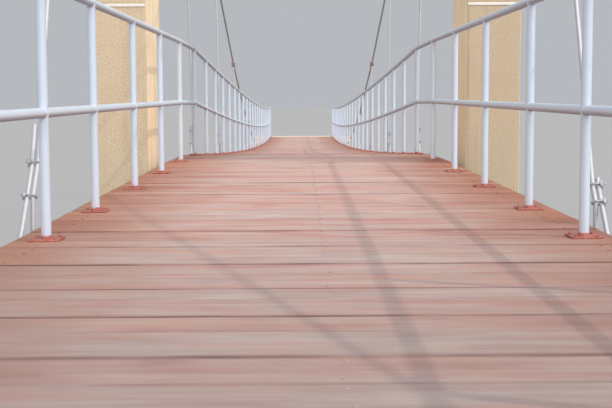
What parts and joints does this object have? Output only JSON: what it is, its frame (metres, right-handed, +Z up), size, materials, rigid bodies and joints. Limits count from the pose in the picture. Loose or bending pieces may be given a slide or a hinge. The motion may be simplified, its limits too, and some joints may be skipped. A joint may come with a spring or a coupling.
{
  "type": "suspension footbridge",
  "caption": "Narrow suspension footbridge with concrete pylons, plank deck, white pipe railings, main cables and rope hangers.",
  "frame": {"origin": "on the ground under the middle of the bridge, half way between the outer faces of the two abutments", "axes": "+Y along the walkway from the near abutment to the far one, +X to the right of a walker, +Z up"},
  "size_m": [3.37, 38.4, 6.8511],
  "materials": {
    "concrete": "rough",
    "boards": "worn paint",
    "frame_timber": "stained",
    "white_paint": "gloss paint",
    "wire_rope": "galvanised strands",
    "cable_steel": "weathered galvanised strands",
    "cast_fittings": "galvanised"
  },
  "bodies": {
    "root": {"cable_saddle_left": "cast_fittings", "cable_saddle_right": "cast_fittings", "cable_seat_left": "cast_fittings", "cable_seat_right": "cast_fittings", "cross_beam_1": "frame_timber", "cross_beam_2": "frame_timber", "cross_beam_3": "frame_timber", "cross_beam_4": "frame_timber", "cross_beam_5": "frame_timber", "cross_beam_6": "frame_timber", "cross_beam_7": "frame_timber", "deck_1": "boards", "deck_2": "boards", "deck_3": "boards", "deck_4": "boards", "deck_frame_1": "frame_timber", "deck_frame_2": "frame_timber", "deck_frame_3": "frame_timber", "deck_frame_4": "frame_timber", "far_abutment": "concrete", "far_anchor_left": "cast_fittings", "far_anchor_right": "cast_fittings", "hanger_left_1": "wire_rope", "hanger_left_2": "wire_rope", "hanger_left_3": "wire_rope", "hanger_left_4": "wire_rope", "hanger_left_5": "wire_rope", "hanger_left_6": "wire_rope", "hanger_right_1": "wire_rope", "hanger_right_2": "wire_rope", "hanger_right_3": "wire_rope", "hanger_right_4": "wire_rope", "hanger_right_5": "wire_rope", "hanger_right_6": "wire_rope", "main_cable_left": "cable_steel", "main_cable_right": "cable_steel", "near_abutment": "concrete", "near_anchor_left": "cast_fittings", "near_anchor_right": "cast_fittings", "pylon_deck_beam": "concrete", "pylon_leg_left": "concrete", "pylon_leg_right": "concrete", "pylon_top_beam": "concrete", "railing_left_1": "white_paint", "railing_left_2": "white_paint", "railing_left_3": "white_paint", "railing_left_4": "white_paint", "railing_right_1": "white_paint", "railing_right_2": "white_paint", "railing_right_3": "white_paint", "railing_right_4": "white_paint"}
  },
  "joints": []
}
